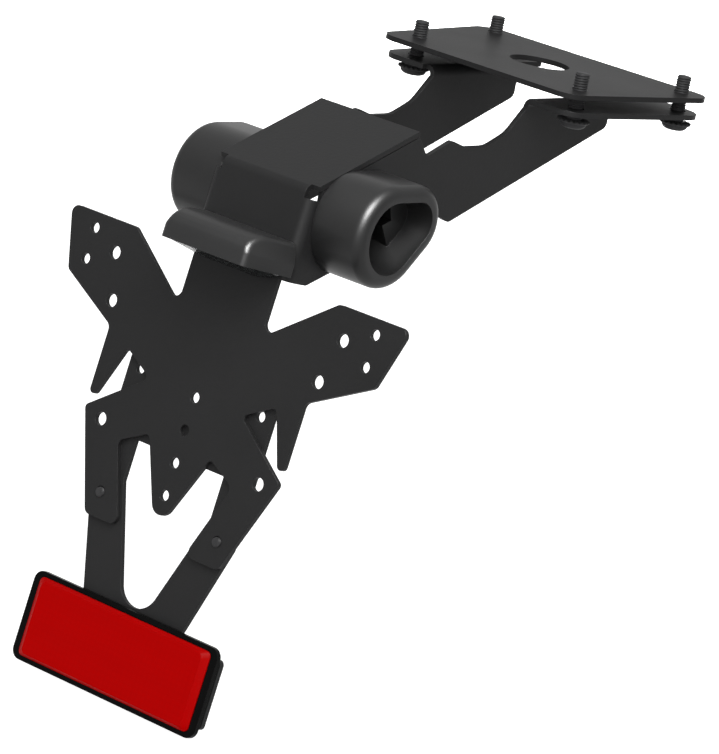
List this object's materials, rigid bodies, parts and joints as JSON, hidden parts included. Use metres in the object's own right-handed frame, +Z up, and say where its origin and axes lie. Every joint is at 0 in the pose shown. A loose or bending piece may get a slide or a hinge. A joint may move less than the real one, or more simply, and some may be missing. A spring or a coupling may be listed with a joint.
{
  "type": "tail tidy",
  "caption": "Folded black sheet bracket under a motorbike's tail that carries the number plate, the indicators, a plate light and a red reflector.",
  "frame": {"origin": "centre of the round cable hole, on the top face of the top plate", "axes": "+X to the motorbike's right, +Y in the riding direction, +Z up, square to the top plate; X = 0 is the plane of symmetry"},
  "size_m": [0.1662, 0.2339, 0.2481],
  "materials": {
    "powder_coat": "fine satin powder coat, black",
    "screw_black": "black oxide steel, satin",
    "moulded_black": "matt moulded black",
    "clear_lens": "clear moulded plastic with fine flutes",
    "circuit_board": "green solder mask",
    "emitter": "pale yellow emitter face",
    "foam_pad": "dark closed-cell foam",
    "gloss_black": "glossy black",
    "red_lens": "glossy red with a prism pattern under the face"
  },
  "bodies": {
    "root": {"top_plate": "powder_coat", "main_bracket": "powder_coat", "mount_screw_rear_left": "screw_black", "mount_screw_rear_right": "screw_black", "mount_screw_front_left": "screw_black", "mount_screw_front_right": "screw_black", "indicator_boss_left": "moulded_black", "indicator_boss_right": "moulded_black", "boss_screw_left_front": "screw_black", "boss_screw_left_low": "screw_black", "boss_screw_right_front": "screw_black", "boss_screw_right_low": "screw_black", "light_housing": "moulded_black", "light_lens": "clear_lens", "light_board": "circuit_board", "light_led_left": "emitter", "light_led_right": "emitter", "light_screw_left": "screw_black", "light_screw_right": "screw_black", "reflector_bracket": "powder_coat", "bracket_screw_left": "screw_black", "bracket_screw_right": "screw_black", "reflector_pad": "foam_pad", "reflector_base": "gloss_black", "reflector_lens": "red_lens"}
  },
  "joints": []
}
